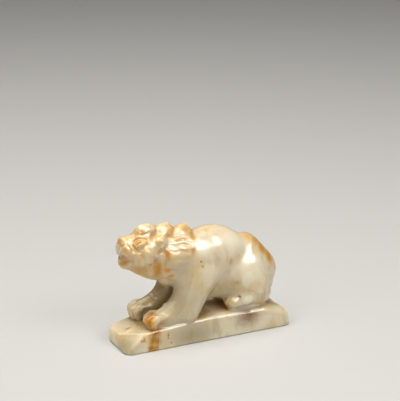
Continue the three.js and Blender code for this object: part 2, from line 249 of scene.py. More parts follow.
def slope_of(field, points):
    """A field's value and slope at some points."""
    samples = [field(points + corner) for corner in CORNERS]
    value = sum(samples) / len(CORNERS)
    slope = sum(sample[:, None] * corner for sample, corner in zip(samples, CORNERS))
    return value, slope / (len(CORNERS) * PROBE**2)


def step_to_skin(field, points, limit):
    """Moves points towards the skin, by no more than a limit, and tells what it measured."""
    value, slope = slope_of(field, points)
    steep = np.maximum((slope**2).sum(1), LEAST_STEEPNESS)
    return points - slope * np.clip(value / steep, -limit, limit)[:, None], value, slope


def on_skin(skin, places):
    """Moves rough places onto the skin and gives the outward directions there."""
    points = np.array(places, float)
    for _ in range(SKIN_PASSES):
        points, value, slope = step_to_skin(skin, points, SKIN_STEP)
    return points, slope / np.linalg.norm(slope, axis=1)[:, None]


def smooth_line(places):
    """Points along a smooth curve through a few places."""
    places = np.array(places, float)
    padded = np.vstack([2 * places[0] - places[1], places, 2 * places[-1] - places[-2]])
    line = []
    for s in np.linspace(0, len(places) - 1, LINE_POINTS):
        i = min(int(s), len(places) - 2)
        t = s - i
        a, b, c, d = padded[i:i + 4]
        line.append(0.5 * (2 * b + (c - a) * t + (2 * a - 5 * b + 4 * c - d) * t**2
                           + (3 * b - a - 3 * c + d) * t**3))
    return np.array(line)


def groove(skin, places, depth, width):
    """A cut along the skin through a few places, shallower at both ends."""
    radius = (width * width / 4 + depth * depth) / (2 * depth)
    points, outward = on_skin(skin, smooth_line(places))
    t = np.linspace(-1, 1, len(points))
    lift = radius - depth * (1 - END_FADE * np.abs(t) ** 3)
    return limb(np.column_stack([points + outward * lift[:, None], np.full(len(points), radius)]))


def welt(skin, places, radius, sink):
    """A raised line along the skin, sunk by a share of its radius."""
    points, outward = on_skin(skin, smooth_line(places))
    return limb(np.column_stack([points - outward * sink * radius, np.full(len(points), radius)]))


def ring(skin, place, radius, thickness):
    """A round cut about a place on the skin."""
    points, outward = on_skin(skin, [place])
    centre = points[0] + outward[0] * RING_LIFT

    def field(points):
        away = points - centre
        height = away @ outward[0]
        sideways = np.linalg.norm(away - height[:, None] * outward[0], axis=1)
        return np.hypot(sideways - radius, height) - thickness

    reach = radius + thickness
    return Shape(field, centre - reach, centre + reach)


print("each line is cut along", LINE_POINTS, "points of the skin")

# %% [markdown]
# The plinth is the plain part: a slab with rounded upright corners, whose top falls away to the
# front and the rear. One corner of the front is dressed off at a slant and a little hollowed. Planes
# cut the slab with a soft edge, which is how a polished arris looks. The arris gets crisper over the
# FRONT_RUN that starts FRONT_FROM ahead of the middle, and rounder over the REAR_RUN behind the
# middle. The plinth's box has some room below, so that the flat base is measured from inside it.

# %% Plinth
PLINTH_LENGTH = size[0]
PLINTH_WIDTH = 19.5
PLINTH_HEIGHT = 10.2
CORNER_RADIUS = 3.0
ARRIS_BLEND = 1.8
FRONT_BLEND = 1.3
REAR_BLEND = 4.6
FOOT_BLEND = 0.9
SCOOP_BLEND = 0.3
FRONT_FROM = 24
FRONT_RUN = 8
REAR_RUN = 18
ROOM_BELOW = 9


def plane(normal, point):
    n = np.array(normal, float) / np.linalg.norm(normal)
    return lambda points: points @ n - n @ np.array(point, float)


def plinth():
    half_length = PLINTH_LENGTH / 2
    half_width = PLINTH_WIDTH / 2
    planes = [
        # upward direction, a place on the plane, blend: top, front slope, rear slope, slanted facet
        (plane([-0.06, 0, 1], [-20, 0, 8.6]), 0.8),
        (plane([-0.27, 0, 1], [-half_length, 0, 5.6]), 0.5),
        (plane([0.36, 0, 1], [half_length, 0, 6.6]), 0.8),
        (plane([-0.6, -0.35, 0.72], [-35.6, -0.4, 5.6]), 0.25)]
    scoop = limb([[-35.0, -1.2, 6.6, 1.0], [-27.0, -5.2, 17.0, 9.6]])

    def field(points):
        qx = np.abs(points[:, 0]) - half_length + CORNER_RADIUS
        qy = np.abs(points[:, 1]) - half_width + CORNER_RADIUS
        outside = np.hypot(np.maximum(qx, 0), np.maximum(qy, 0))
        slab = outside + np.minimum(np.maximum(qx, qy), 0) - CORNER_RADIUS
        top = points[:, 2] - PLINTH_HEIGHT
        for above, blend in planes:
            top = soft_max(top, above(points), blend)
        top = soft_max(top, -scoop(points), SCOOP_BLEND)
        front_share = np.clip((-points[:, 0] - FRONT_FROM) / FRONT_RUN, 0, 1)
        rear_share = np.clip(points[:, 0] / REAR_RUN, 0, 1)
        arris = ARRIS_BLEND + (FRONT_BLEND - ARRIS_BLEND) * front_share
        arris += (REAR_BLEND - ARRIS_BLEND) * rear_share
        block = soft_max(slab, top, arris)
        return soft_max(block, -points[:, 2], FOOT_BLEND)

    low = [-half_length, -half_width, -ROOM_BELOW]
    return Shape(field, low, [half_length, half_width, PLINTH_HEIGHT])


print("the plinth is", round(PLINTH_LENGTH, 1), "by", PLINTH_WIDTH, "by", PLINTH_HEIGHT, "mm")

# %% [markdown]
# The trunk of a crouching lion is three masses: the rib cage, the haunches and the heavy shoulders.
# The neck and the skull are laid onto it as smooth lumps, because the mane needs a ground to lie on.

# %% Trunk and neck
HIPS = [17.2, 0, 21.4]


def trunk():
    body = clay(ball([3.8, 0, 31], [15.6, 9.5, 13.2]))  # rib cage
    body.add(ball(HIPS, [12.6, 9.2, 12.0]), 4)
    body.add(paired(ball([17.6, 4.4, 22.8], [9.4, 5.8, 9.6])), 2)  # thighs
    body.add(paired(ball([-3, 4.3, 29.5], [8.5, 5.4, 12])), 2.5)  # shoulders
    body.add(ball([-13.0, 0, 29.8], [7.3, 7.2, 7.6]), 3)  # chest
    body.add(ball([-12, 0, 35.0], [11.0, 8.7, 8.7]), 2)  # neck
    body.add(ball([3.0, 1.4, 19.9], [9, 6.4, 6.4]), 3)  # belly
    body.add(ball([16.4, 0, 32.6], [7.4, 4.8, 4.8], 24), 3.5)  # loin, up to the tip of the tail
    body.add(paired(ball([23.0, 3.8, 16.0], [5.6, 5.4, 6.4])), 4)  # heels
    return body


def neck():
    bust = clay(trunk())
    bust.add(ball([-23.6, 0, 38.5], [8.2, 7.4, 7.2]), 2)  # skull
    bust.add(ball([-24.6, 0, 33.0], [8.8, 5.8, 4.8], 28), 2)  # throat
    bust.add(ball([-20.0, 0, 31.6], [5.6, 6.4, 5.4]), 2)  # dewlap
    return bust


bust = neck()
print("trunk and neck fill", bust.low.round(1), "to", bust.high.round(1), "mm")

# %% [markdown]
# The face is a broad muzzle with a closed mouth, whisker pads that run down from the nose, a deep
# jaw, heavy cheeks and bulging eyes. Each is one or two lumps, and the mouth, the lids and the
# nostrils are cut in last. The carver set the two eyes at different heights, and so does this cell.

# %% Face
NEAR_EYE = [-27.2, 4.0, 43.1]
FAR_EYE = [-26.8, 3.6, 42.1]
EYE_RADII = [2.9, 2.4, 2.5]
EYE_PITCH = -6
EYE_BLEND = 0.6
WHISKER_PAD = [
    [-33.3, 1.9, 43.0, 0.6], [-32.7, 3.1, 41.6, 1.0], [-31.9, 3.8, 40.3, 1.1], [-30.7, 4.3, 39.3, 0.7]]
PAD_BLEND = 0.7
FACE_LINES = [
    # places, depth, width: mouth, chin, parting of the lip, nostril, whisker pad, lids and cheek
    [[[-35.2, 0, 37.1], [-34.6, 2.4, 36.9], [-33.0, 3.8, 36.2], [-31.2, 4.8, 35.8]], 0.7, 0.9],
    [[[-34.8, 0, 35.2], [-33.4, 2.5, 34.6], [-32.3, 4.0, 34.1]], 0.2, 0.6],
    [[[-35.6, 0, 41.3], [-35.4, 0, 39.5], [-35.2, 0, 37.6]], 0.3, 0.6],
    [[[-34.6, 1.6, 42.4], [-33.8, 2.6, 42.2], [-33.0, 2.9, 42.9]], 0.3, 0.6],
    [[[-31.8, 2.6, 43.4], [-31.2, 3.6, 41.8], [-30.2, 4.4, 40.4], [-29.0, 4.9, 39.4]], 0.2, 0.9],
    [[[-29.8, 4.0, 41.9], [-29.3, 5.5, 40.5], [-27.3, 6.6, 39.9], [-25.1, 7.2, 40.6]], 0.3, 0.9],
    [[[-29.5, 3.3, 43.2], [-28.4, 3.6, 44.7], [-26.6, 4.7, 45.4], [-24.8, 5.9, 44.6],
      [-23.7, 6.4, 42.1]], 0.3, 0.9],
    [[[-29.0, 5.0, 42.5], [-27.8, 5.6, 43.8], [-26.2, 6.0, 43.5], [-25.1, 6.4, 41.9]], 0.12, 0.5],
    [[[-26.4, 6.6, 38.2], [-26.8, 6.4, 36.2], [-26.0, 5.9, 34.4]], 0.2, 0.8]]
FACE_LINE_BLEND = 0.25


def face():
    head = clay(ball([-28.4, 0, 39.6], [5.6, 4.6, 5.0], 6))  # muzzle
    head.add(ball([-29.6, 0, 42.9], [4.0, 2.7, 2.3]), 1)  # bridge of the nose
    head.add(ball([-32.3, 0, 43.2], [2.1, 2.7, 1.9]), 0.5)  # nose
    head.add(paired(ball([-31.8, 2.0, 40.2], [2.8, 2.7, 3.0])), 1.0)  # upper lip
    head.add(limb([[-33.3, 0, 38.5, 1.4], [-32.7, 2.2, 38.2, 1.5], [-31.2, 3.8, 37.8, 1.4]]), 1.0)
    head.add(ball([-31.4, 0, 34.8], [3.4, 3.5, 3.0], 24), 0.8)  # jaw
    head.add(paired(ball([-27.4, 3.4, 37.4], [3.6, 3.4, 4.2])), 1.5)  # cheeks
    head.add(ball([-25.2, 0, 42.4], [4.4, 5.6, 3.8]), 1.0)  # forehead
    return head


def cut_lines(body, lines, blend):
    """Cuts grooves into both sides of a body along lists of places."""
    skin = clay(body)
    for places, depth, width in lines:
        body.cut(paired(groove(skin, places, depth, width)), blend)


def add_face(body):
    body.add(face(), 1)
    body.add(paired(limb(WHISKER_PAD)), PAD_BLEND)
    near_eye = ball(NEAR_EYE, EYE_RADII, EYE_PITCH)
    far_eye = ball(FAR_EYE, EYE_RADII, EYE_PITCH)
    body.add(two_sided(near_eye, far_eye), EYE_BLEND)
    cut_lines(body, FACE_LINES, FACE_LINE_BLEND)


print(len(FACE_LINES), "lines are cut on each side of the face")

# %% [markdown]
# The mane is in rings of locks. A lock is a limb whose stations lie on the skin of the neck, so a
# ray is sent outwards from the middle of the neck and the place where it leaves the stone is found
# by halving the gap again and again. A place in the mane is given as [x, angle], and the angle is
# counted in degrees from straight up, down the side of the neck.

# %% Mane
NECK_HEIGHT = 35.5
RAY_LENGTH = 30.0
HALVINGS = 24
LOCK_STATIONS = 4
ROOT_THICKNESS = 0.75
ROOT_SINK = 0.62
EXTRA_TIP_SINK = 0.22
CHEEK_LOCKS = [
    # x, angle, thickness
    (-25.0, 60, 1.9),
    (-24.4, 83, 2.1),
    (-24.2, 106, 2.1),
    (-23.2, 129, 1.9)]
HANGING_LOCKS = (-21.8, -19.5)
HANGING_FROM = 72
HANGING_TO = 128
HANGING_THICKNESS = 1.5
THROAT_LOCKS = [(-17.2, 138), (-14.4, 142)]
THROAT_THICKNESS = 1.4
LOCK_BLEND = 0.2
COLLAR_LOCKS = 7
COLLAR_ROOT = -17.2
FIRST_ANGLE = 26
LAST_ANGLE = 130
COLLAR_THICKNESS = 2.0
THROAT_SINK = 0.3
COLLAR_BLEND = 0.9


def on_surface(field, x, degrees, depth):
    """Points on a field's skin at angles from straight up, drawn in by a depth."""
    angle = np.radians(degrees)
    inside = np.zeros(len(x))
    outside = np.full(len(x), RAY_LENGTH)

    def at(radius):
        return np.column_stack([x, radius * np.sin(angle), NECK_HEIGHT + radius * np.cos(angle)])

    for _ in range(HALVINGS):
        middle = (inside + outside) / 2
        within = field(at(middle)) < 0
        inside = np.where(within, middle, inside)
        outside = np.where(within, outside, middle)
    return at(inside - depth)


def lock(base, start, tip, thickness, sink=1.0):
    """One lock laid on the neck between two places [x, angle], lowest at its tip."""
    t = np.linspace(0, 1, LOCK_STATIONS)
    radius = thickness * (ROOT_THICKNESS + (1 - ROOT_THICKNESS) * t)
    x = start[0] + t * (tip[0] - start[0])
    degrees = start[1] + t * (tip[1] - start[1])
    points = on_surface(base, x, degrees, (ROOT_SINK + EXTRA_TIP_SINK * t) * radius * sink)
    return limb(np.column_stack([points, radius]))


def collar_locks():
    """Where each lock of the collar starts and ends: shorter towards the throat."""
    for i in range(COLLAR_LOCKS):
        share = i / (COLLAR_LOCKS - 1)
        start = FIRST_ANGLE + share * (LAST_ANGLE - FIRST_ANGLE)
        tip = -5.2 - 2.2 * share - 4.6 * share * share
        yield [COLLAR_ROOT, start], [tip, start + 4 + 6 * share]


def mane(base):
    locks = []
    for x, angle, thickness in CHEEK_LOCKS:
        locks.append(lock(base, [x - 0.6, angle - 4], [x + 0.6, angle + 4], thickness))
    for x in HANGING_LOCKS:
        locks.append(lock(base, [x, HANGING_FROM], [x + 0.1, HANGING_TO], HANGING_THICKNESS))
    for x, angle in THROAT_LOCKS:
        locks.append(lock(base, [x - 0.5, angle - 3], [x + 0.7, angle + 3], THROAT_THICKNESS))
    hair = clay(locks[0])
    for piece in locks[1:]:
        hair.add(piece, LOCK_BLEND)
    for start, tip in collar_locks():
        below = np.clip(start[1] / 50 - 1.2, 0, 1)  # 0 down to 60 degrees, 1 from 110 degrees
        sink = 1 + THROAT_SINK * below
        hair.add(lock(base, start, tip, COLLAR_THICKNESS, sink), COLLAR_BLEND)
    hair.add(ball([-13.8, 6.6, 35.4], [3.8, 2.5, 3.8]), 1.5)  # the full side of the collar
    return hair


print("the mane has", COLLAR_LOCKS, "locks in its collar and", len(CHEEK_LOCKS), "on the cheek, a side")

# %% [markdown]
# Strands are cut last, into the finished skin of the hair. Most run back from the ear in waves, and
# some hang between the cheek and the collar. Each small curl is a low knob with a ring cut into it.
# The ear is a lump with a raised rim, a cut outline and a hollow below. The cuts are deep and sure
# beside the ear and nearly polished away towards the throat, as handling leaves them.

# %% Strands, curls and ears
COLLAR_STRANDS = [
    # start x and angle, tip x and angle, depth, wave in degrees
    [[-16.0, 24], [-7.2, 30], 0.30, 2],
    [[-14.8, 35], [-6.0, 44], 0.55, 3],
    [[-14.6, 43], [-8.6, 51], 0.16, 2],
    [[-15.4, 48], [-7.2, 58], 0.45, 3],
    [[-15.6, 56], [-10.4, 62], 0.14, 2],
    [[-16.2, 64], [-8.6, 74], 0.28, 3],
    [[-15.6, 88], [-11.4, 92], 0.2, 2]]
CREST_STRANDS = [
    [[-26.4, 18], [-20.4, 20], 0.12, 2],
    [[-20.0, 14], [-12.6, 16], 0.16, 2],
    [[-11.2, 12], [-5.6, 14], 0.12, 2]]
HANGING_STRANDS = [
    [[-22.9, 78], [-22.7, 126], 0.34, 2],
    [[-21.9, 88], [-21.7, 124], 0.14, 3],
    [[-20.5, 86], [-21.0, 128], 0.26, 4],
    [[-19.6, 86], [-19.8, 124], 0.16, 3],
    [[-18.0, 74], [-18.7, 128], 0.32, 4],
    [[-17.4, 74], [-17.6, 116], 0.12, 3]]
STRANDS = COLLAR_STRANDS + CREST_STRANDS + HANGING_STRANDS
STRAND_POINTS = 9
HALF_WAVES = 2.5
STRAND_WIDTH = 1.1
STRAND_BLEND = 0.25
CURLS = [
    # six on the cheek, three at the throat
    [-26.6, 7.2, 39.2],
    [-24.2, 7.8, 38.4],
    [-25.2, 8.0, 35.6],
    [-27.0, 6.6, 34.6],
    [-25.4, 7.0, 32.4],
    [-23.4, 6.2, 31.2],
    [-17.3, 7.2, 29.9],
    [-15.3, 7.7, 28.9],
    [-18.2, 6.4, 28.2]]
CURL_RADIUS = 2.0
CURL_SINK = 1.5
CURL_BLEND = 0.9
RING_RADIUS = 1.3
RING_THICKNESS = 0.4
RING_BLEND = 0.3
EAR_BLEND = 0.3
RIM_RADIUS = 0.7
RIM_SINK = 0.2
OUTLINE_DEPTH = 0.3
OUTLINE_WIDTH = 0.9
EAR_RIM = [
    [-21.0, 6.8, 43.4], [-20.2, 7.0, 44.0], [-18.9, 7.0, 43.2], [-18.5, 7.2, 41.9], [-19.3, 7.4, 40.9]]
EAR_OUTLINE = [
    [-20.6, 6.2, 45.1], [-18.6, 6.3, 44.9], [-17.3, 6.5, 43.6], [-16.9, 6.9, 41.9], [-17.3, 7.2, 40.3]]


def ears():
    return paired(ball([-19.3, 5.2, 42.1], [2.7, 1.5, 2.9], 20))


def strand(skin, start, tip, wave):
    """Places along the hair from one [x, angle] to another, in a wave."""
    t = np.linspace(0, 1, STRAND_POINTS)
    x = start[0] + t * (tip[0] - start[0])
    degrees = start[1] + t * (tip[1] - start[1]) + wave * np.sin(t * HALF_WAVES * math.pi)
    return on_surface(skin, x, degrees, 0)


def cut_hair(body):
    skin = clay(body)
    for start, tip, depth, wave in STRANDS:
        places = strand(skin, start, tip, wave)
        body.cut(paired(groove(skin, places, depth, STRAND_WIDTH)), STRAND_BLEND)
    for curl in CURLS:
        points, outward = on_skin(skin, [curl])
        body.add(paired(ball(points[0] - outward[0] * CURL_SINK, [CURL_RADIUS] * 3)), CURL_BLEND)
        body.cut(paired(ring(skin, curl, RING_RADIUS, RING_THICKNESS)), RING_BLEND)
    body.add(paired(welt(skin, EAR_RIM, RIM_RADIUS, RIM_SINK)), EAR_BLEND)
    body.cut(paired(groove(skin, EAR_OUTLINE, OUTLINE_DEPTH, OUTLINE_WIDTH)), EAR_BLEND)
    body.cut(paired(ball([-20.3, 7.4, 39.3], [0.8, 0.9, 0.7])), 0.4)  # the hollow below the ear


print("each side has", len(STRANDS), "strands and", len(CURLS), "small curls")

# %% [markdown]
# Along the top of the neck the mane stands up as a crest of three knobs with steep rear edges. The
# tail is a broad tuft laid up the middle of the rump, with two smaller lumps below it. It starts as
# a limb, which is then widened, bent down at both sides until it lies on the rump, and ribbed. The
# bending stretches the field, and TAIL_STEEPNESS brings its answers back close to true distances.

# %% Crest and tail
RUMP_CENTRE = np.array([HIPS[0], HIPS[2]])
DRAPE = 0.07
TAIL_NARROWING = 0.5
TAIL_STEEPNESS = 0.8
RIB_DIRECTION = [-0.55, 0.5, 0.67]
RIB_SPACING = 1.6
RIB_DEPTH = 0.07


def crest():
    ridge = clay(ball([-23.2, 0, 46.2], [4.3, 3.5, 2.8], 3))
    ridge.add(ball([-16.6, 0, 43.8], [5.2, 3.6, 3.8], -22), 1.2)
    ridge.add(limb([[-17.4, 0, 44.8, 2.6], [-14.9, 0.4, 46.4, 1.7], [-13.9, 0.6, 47.5, 0.7]]), 0.8)
    ridge.add(ball([-9.0, 0, 42.3], [5.2, 3.6, 3.8], -14), 1.0)
    ridge.add(limb([[-11.0, 0, 43.0, 2.4], [-8.0, 0.2, 44.8, 1.6], [-6.4, 0.3, 45.8, 0.9]]), 0.8)
    return ridge


def ribbed(shape, across, spacing, depth):
    """The same lump with fine ribs, whose crests lie across a direction."""
    turn = np.array(across, float) * 2 * math.pi / (spacing * np.linalg.norm(across))

    def field(points):
        return shape(points) + depth * 0.5 * (1 + np.cos(folded(points) @ turn))

    return Shape(field, shape.low, shape.high)


def tail():
    shaft = limb([
        [30.0, 0, 21.0, 2.4], [30.5, 0, 22.6, 2.8], [29.6, 0, 25.4, 2.8],
        [27.0, 0, 28.6, 2.7], [24.8, 0, 31.2, 2.5], [22.8, 0, 34.2, 2.1], [20.8, 0, 36.5, 1.6]])

    def draped(points):
        """Asks the limb at places that are straightened and drawn towards the middle."""
        outward = points[:, [0, 2]] - RUMP_CENTRE
        outward /= np.linalg.norm(outward, axis=1)[:, None] + TINY
        drop = DRAPE * points[:, 1] ** 2
        x = points[:, 0] + outward[:, 0] * drop
        z = points[:, 2] + outward[:, 1] * drop
        return shaft(np.column_stack([x, points[:, 1] * TAIL_NARROWING, z])) * TAIL_STEEPNESS

    wide = Shape(draped, shaft.low * [1, 2.5, 1] - [2, 0, 3], shaft.high * [1, 2.5, 1])
    return ribbed(wide, RIB_DIRECTION, RIB_SPACING, RIB_DEPTH)


def tail_lumps():
    return clay(ball([28.4, 0, 16.9], [3.0, 5.2, 2.3])).add(ball([28.0, 0, 13.2], [2.9, 5.0, 2.4]), 0.3)


print("the crest rises to", crest().high[2].round(1), "mm and the tail to", tail().high[2].round(1), "mm")

# %% [markdown]
# The forelegs differ: the far one reaches a little further and its paw is taller. The same function
# makes both, from three settings: how far the knee and the paw are pushed to the front, and how much
# the paw is raised. The hind leg is folded, with the heel behind and the foot in front.

# %% Legs
LEG_OFFSET = 5.4
PAW_OFFSET = 5.7
TOES = (-2.9, -1.0, 1.0, 2.9)
LONGEST_TOE = 25.1
TOE_ARC = 0.12
NEAR_LEG = (0, 0, 0)
FAR_LEG = (2.2, 1.7, 0.9)
FOOT_LINES = [
    # places, depth, width: between the lumps of the hind foot, between its toes
    [[[12.2, 8.4, 16.4], [12.9, 9.2, 14.8], [13.2, 9.2, 13.2]], 0.12, 0.8],
    [[[9.4, 4.9, 15.8], [8.4, 4.8, 13.8], [8.6, 4.8, 12.4]], 0.25, 0.7],
    [[[9.6, 7.2, 15.6], [8.8, 7.3, 13.8], [9.0, 7.2, 12.4]], 0.25, 0.7]]


def foreleg(knee, reach, lift):
    y = LEG_OFFSET
    leg = clay(limb([[-6, 4.6, 28, 5.4], [-8.9 - knee, y, 20.5, 4.6], [-9.8 - knee, y, 13.6, 4.4]]))
    leg.add(limb([[0, 4.6, 27, 5.4], [-4.3 - knee / 2, y, 18.6, 4.5], [-7.6, y, 12.4, 4.2]]), 3)
    leg.add(limb([[-9.6 - knee, y, 18.3 + lift, 4.0], [-17.8 - reach, y, 11.7 + lift, 3.0]]), 2)
    leg.add(limb([
        [-10, y, 13.0, 4.4], [-16 - reach, PAW_OFFSET, 11.4 + lift, 3.5 + lift / 2],
        [-21 - reach, PAW_OFFSET, 11.0 + lift, 3.2 + lift / 2]]), 3)
    leg.add(ball([-16.4 - reach, 4.6, 15.1 + lift], [1.9, 2.2, 1.2], 35), 0.5)  # wrist
    for across in TOES:
        side = PAW_OFFSET + across
        tip = LONGEST_TOE - TOE_ARC * across**2
        leg.add(limb([
            [-19 - reach, side, 12.7 + lift, 1.1], [1.8 - tip - reach, side, 12.6 + lift, 1.5],
            [-tip - reach, side, 11.4 + lift, 1.7], [0.4 - tip - reach, side, 9.8, 1.4]]), 0.3)
    return leg


def forelegs():
    return two_sided(foreleg(*NEAR_LEG), foreleg(*FAR_LEG))


def hindleg():
    leg = clay(limb([[25, 4.4, 13.0, 3.3], [17, 4.6, 12.4, 2.8], [11.2, 4.8, 12.0, 2.0]]))
    leg.add(ball([16.3, 5.8, 14.7], [5.0, 4.5, 4.0], 4), 1.5)
    leg.add(ball([11.6, 5.8, 13.1], [3.5, 3.6, 2.8], 4), 1.4)
    return leg


print("the forelegs reach to x =", forelegs().low[0].round(1), "mm")

# %% [markdown]
# Now the lumps go together in the order in which a carver would find them. The number after each
# lump is the width of its soft join. The small natural pits of the stone come last.

# %% The whole lion
PITS = [
    # place on the near side, radius: two on the flank, one on the hind foot, three on the brow
    [[-4.2, -9.5, 33.5], 0.35],
    [[-3.7, -9.8, 31.5], 0.4],
    [[13.0, -8.8, 15.8], 0.4],
    [[-28.7, -2.0, 44.8], 0.35],
    [[-26.1, -2.5, 46.9], 0.35],
    [[-24.3, -4.1, 46.4], 0.4]]


def lion():
    body = clay(bust)
    add_face(body)
    body.add(paired(mane(bust)), 0.4)
    body.add(ears(), 1.2)
    body.add(crest(), 2.0)
    cut_hair(body)
    body.add(tail(), 4.5)
    body.add(tail_lumps(), 0.8)
    body.add(forelegs(), 2.2)
    body.add(ball([-3, 0, 18], [5, 5, 10]), 1)  # the web of stone between the forelegs
    body.add(paired(hindleg()), 1.0)
    cut_lines(body, FOOT_LINES, 0.4)
    for pit, radius in PITS:
        centre, outward = on_skin(clay(body), [pit])
        body.cut(ball(centre[0], [radius] * 3), 0.2)
    return body


stone = clay(lion())
stone.add(plinth(), 0.8)
print("the lion's lumps fill", stone.low.round(1), "to", stone.high.round(1), "mm")

# %% [markdown]
# The mesh itself starts as a copy of the frame's own stone, so it can't stray from it. Its triangles
# are loose, so doubles are merged first. Two helpers come with it: one runs a bmesh step, one bakes
# a modifier into the mesh.

# %% Copy the frame's stone
MERGE_DISTANCE = 1e-4

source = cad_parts["jade_lion"]
carving = bpy.data.objects.new("carved_stone", source.data.copy())
bpy.context.collection.objects.link(carving)


def edit_mesh(target, work):
    """Runs one bmesh step on an object's mesh."""
    bm = bmesh.new()
    bm.from_mesh(target.data)
    work(bm)
    bm.to_mesh(target.data)
    bm.free()


def apply_modifier(target, kind, **settings):
    """Adds a modifier, bakes it into the mesh and removes it."""
    modifier = target.modifiers.new(kind.lower(), kind)
    for name, value in settings.items():
        setattr(modifier, name, value)
    shaped = target.evaluated_get(bpy.context.evaluated_depsgraph_get())
    mesh = bpy.data.meshes.new_from_object(shaped)
    old = target.data
    target.modifiers.clear()
    target.data = mesh
    bpy.data.meshes.remove(old)


edit_mesh(carving, lambda bm: bmesh.ops.remove_doubles(bm, verts=bm.verts, dist=MERGE_DISTANCE * MM))
print("the frame's stone has", len(carving.data.vertices), "points")

# %% [markdown]
# A voxel remesh gives the mesh small even faces, and every point is moved along the slope of the
# field until it lies on the skin of the clay. The clay is up to a millimetre or two fuller than the
# frame's stone in a few places. Small faces would fold over each other if they went that far, so the
# first round is coarse and takes many steps, and two fine rounds then follow the grooves.

# %% Move the points onto the clay
COARSE = 0.6
FINE = 0.23
ROUNDS = [
    # size of the faces, passes, longest step of a pass
    (COARSE, 8, 0.5),
    (FINE, 2, 0.4),
    (FINE, 2, 0.3)]


def read_points(target):
    flat = np.empty(len(target.data.vertices) * 3)
    target.data.vertices.foreach_get("co", flat)
    return flat.reshape(-1, 3) / MM


def write_points(target, points):
    target.data.vertices.foreach_set("co", (points * MM).ravel())
    target.data.update()


def settle(target, field, passes, limit):
    """Moves an object's points onto the skin, keeps the base flat and tells the mean miss."""
    points = read_points(target)
    for _ in range(passes):
        points, value, slope = step_to_skin(field, points, limit)
    points[:, 2] = np.maximum(points[:, 2], 0)
    write_points(target, points)
    return np.abs(value).mean()


for voxel, passes, limit in ROUNDS:
    apply_modifier(carving, "REMESH", mode="VOXEL", voxel_size=voxel * MM)
    miss = settle(carving, stone, passes, limit)
    print(len(carving.data.vertices), "points lie", round(float(miss), 4), "mm from the clay")

# %% [markdown]
# Nearly half a million even triangles are more than the stone needs. Collapsing edges where the
# surface is nearly flat keeps the small faces for the grooves.

# %% Thin the mesh
TRIANGLE_LIMIT = 190_000

triangles = sum(len(polygon.vertices) - 2 for polygon in carving.data.polygons)
if triangles > TRIANGLE_LIMIT:
    apply_modifier(carving, "DECIMATE", ratio=TRIANGLE_LIMIT / triangles)
for polygon in carving.data.polygons:
    polygon.use_smooth = True
print("of", triangles, "triangles the carving keeps", min(triangles, TRIANGLE_LIMIT))

# %% [markdown]
# Stain, with some warm painted shade, gathers in the grooves, where the polisher can't reach. The wide
# recesses get painted shade, and thin proud edges get a painted highlight. To find such places, the
# field is asked a little way out from each point: over a bump the answer grows as fast as the distance,
# in a groove it grows more slowly. Asked a little way in, it tells the proud edges.
# The answers are kept with the mesh as attributes, which a material can read.

# %% Hollows and edges as attributes
NARROW_GROOVE = 0.4
WIDE_GROOVE = 1.0
RECESS = 5.0
EDGE = 1.2


def hollow(points, normals, step):
    """0 on a flat or rounded place, up to 1 in the bottom of a groove as wide as the step."""
    return np.clip(1 - stone(points + normals * step) / step, 0, 1)


def proud(points, normals, step):
    """0 on a flat place, up to 1 on an edge."""
    return np.clip(1 + stone(points - normals * step) / step, 0, 1)


def keep_attribute(target, name, values):
    layer = target.data.attributes.new(name, "FLOAT", "POINT")
    layer.data.foreach_set("value", values.astype(np.float32))
    print(name, "runs from", round(float(values.min()), 2), "to", round(float(values.max()), 2))


points = read_points(carving)
normals = np.empty(len(points) * 3)
carving.data.vertices.foreach_get("normal", normals)
normals = normals.reshape(-1, 3)
grooves = 0.5 * (hollow(points, normals, NARROW_GROOVE) + hollow(points, normals, WIDE_GROOVE))
keep_attribute(carving, "hollow", grooves)
# The recess measure places painted shade in the deep recesses, under the belly and between the legs.
keep_attribute(carving, "recess", hollow(points, normals, RECESS))
# The proud measure places a painted highlight on thin edges.
keep_attribute(carving, "proud", proud(points, normals, EDGE))

# %% [markdown]
# Every pebble has its own map of stain. This one is warm at the head, in the mane and along the ridge
# of the rump. Painting by hand would do, but a list of soft patches can be written down and changed.
# Honey is the broad warm tint, painted shade the darker grey of the legs and the underside, and
# russet the stain itself.

# %% Patches of tint as attributes
HONEY_PLACES = [
    # centre, radii, strength
    [[-27, 0, 41], [9, 9, 7], 0.95],
    [[-24, 0, 33], [9, 8, 5], 1.0],
    [[-15, 0, 45], [12, 8, 4], 0.9],
    [[-17, 0, 34], [5, 10, 8], 0.7],
    [[-8, 0, 33], [5, 12, 8], 0.45],
    [[-6, 0, 45], [6, 6, 3], 0.7],
    [[2, 0, 45], [9, 7, 3], 0.3],
    [[27, 0, 30], [6, 7, 9], 0.8],
    [[21, 0, 36], [5, 6, 3], 0.8],
    [[8, 0, 21], [11, 12, 4], 0.4],
    [[-15, 6, 17], [9, 5, 8], 0.8],
    [[-33, 0, 5], [4, 9, 4], 0.35]]
PAINTED_SHADE_PLACES = [
    # painted shade: near leg, far leg, near paw, belly, side of the neck, hind foot
    [[-11, -7, 17], [8, 6, 9], 0.9],
    [[-16, 6, 16], [8, 5, 6], 0.9],
    [[-18, -8, 11], [6, 5, 3], 0.6],
    [[3, -7, 19], [12, 5, 5], 0.5],
    [[-12, -9, 31], [7, 4, 6], 0.4],
    [[11.5, -8, 13.5], [3, 3, 3], 0.4]]
